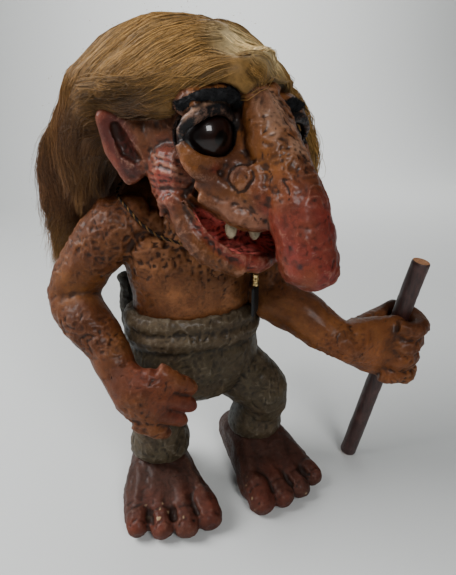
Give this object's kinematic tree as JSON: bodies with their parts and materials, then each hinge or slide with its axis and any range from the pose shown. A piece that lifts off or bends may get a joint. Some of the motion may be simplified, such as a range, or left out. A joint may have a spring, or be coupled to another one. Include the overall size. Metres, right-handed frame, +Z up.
{
  "type": "folk troll figurine",
  "caption": "Hunched, laughing folk troll with a wool wig, glass eyes and a long nose, leaning on a walking stick; its head turns and the stick slides in the fist.",
  "frame": {"origin": "middle of the figure's bounding box, on the ground it stands on", "axes": "+Z up; the chest faces -Y; +X is the troll's own left"},
  "size_m": [0.1565, 0.1186, 0.198],
  "materials": {
    "painted_skin": "cast composition, brown paint under a satin lacquer",
    "painted_face": "cast composition, brown and red paint under a satin lacquer",
    "painted_trousers": "cast composition painted olive brown like cloth",
    "painted_tail": "cast composition painted dark olive",
    "dowel_wood": "plain turned dowel",
    "steel_wire": "plain wire",
    "twisted_cord": "black cord twisted with a gold thread",
    "brass_ferrule": "crimped brass",
    "black_card": "blank black card",
    "glass_eye": "polished dark brown glass",
    "brow_fur": "short black fur",
    "tooth_enamel": "ivory paint",
    "wig_wool": "combed honey-brown wool fibre",
    "stained_stick": "dark maroon stain, bare cut top end"
  },
  "bodies": {
    "figure": {"torso": "painted_skin", "right_arm": "painted_skin", "right_hand": "painted_skin", "left_arm": "painted_skin", "left_fist": "painted_skin", "trousers_seat": "painted_trousers", "waistband": "painted_trousers", "right_trouser_leg": "painted_trousers", "left_trouser_leg": "painted_trousers", "right_foot": "painted_skin", "left_foot": "painted_skin", "tail": "painted_tail", "neck_dowel": "dowel_wood", "shoulder_wire": "steel_wire", "right_leg_wire": "steel_wire", "left_leg_wire": "steel_wire", "neck_cord": "twisted_cord", "cord_ferrule": "brass_ferrule", "cord_tag": "black_card"},
    "head": {"head": "painted_face", "right_eye": "glass_eye", "left_eye": "glass_eye", "right_brow": "brow_fur", "left_brow": "brow_fur", "right_tooth": "tooth_enamel", "left_tooth": "tooth_enamel", "wig_crown": "wig_wool", "wig_fringe": "wig_wool", "wig_right_lock": "wig_wool", "wig_back_lock": "wig_wool", "wig_left_lock": "wig_wool"},
    "stick": {"stick": "stained_stick"}
  },
  "joints": [
    {"name": "head_turn", "type": "hinge", "parent": "figure", "child": "head", "pos_m": [-0.0213, 0.0028, 0.134], "axis": [0, 0, 1], "range_deg": [-35, 5]},
    {"name": "stick_slide", "type": "slide", "parent": "figure", "child": "stick", "axis": [0.1111, -0.1896, 0.9755], "range_m": [0, 0.06]}
  ]
}
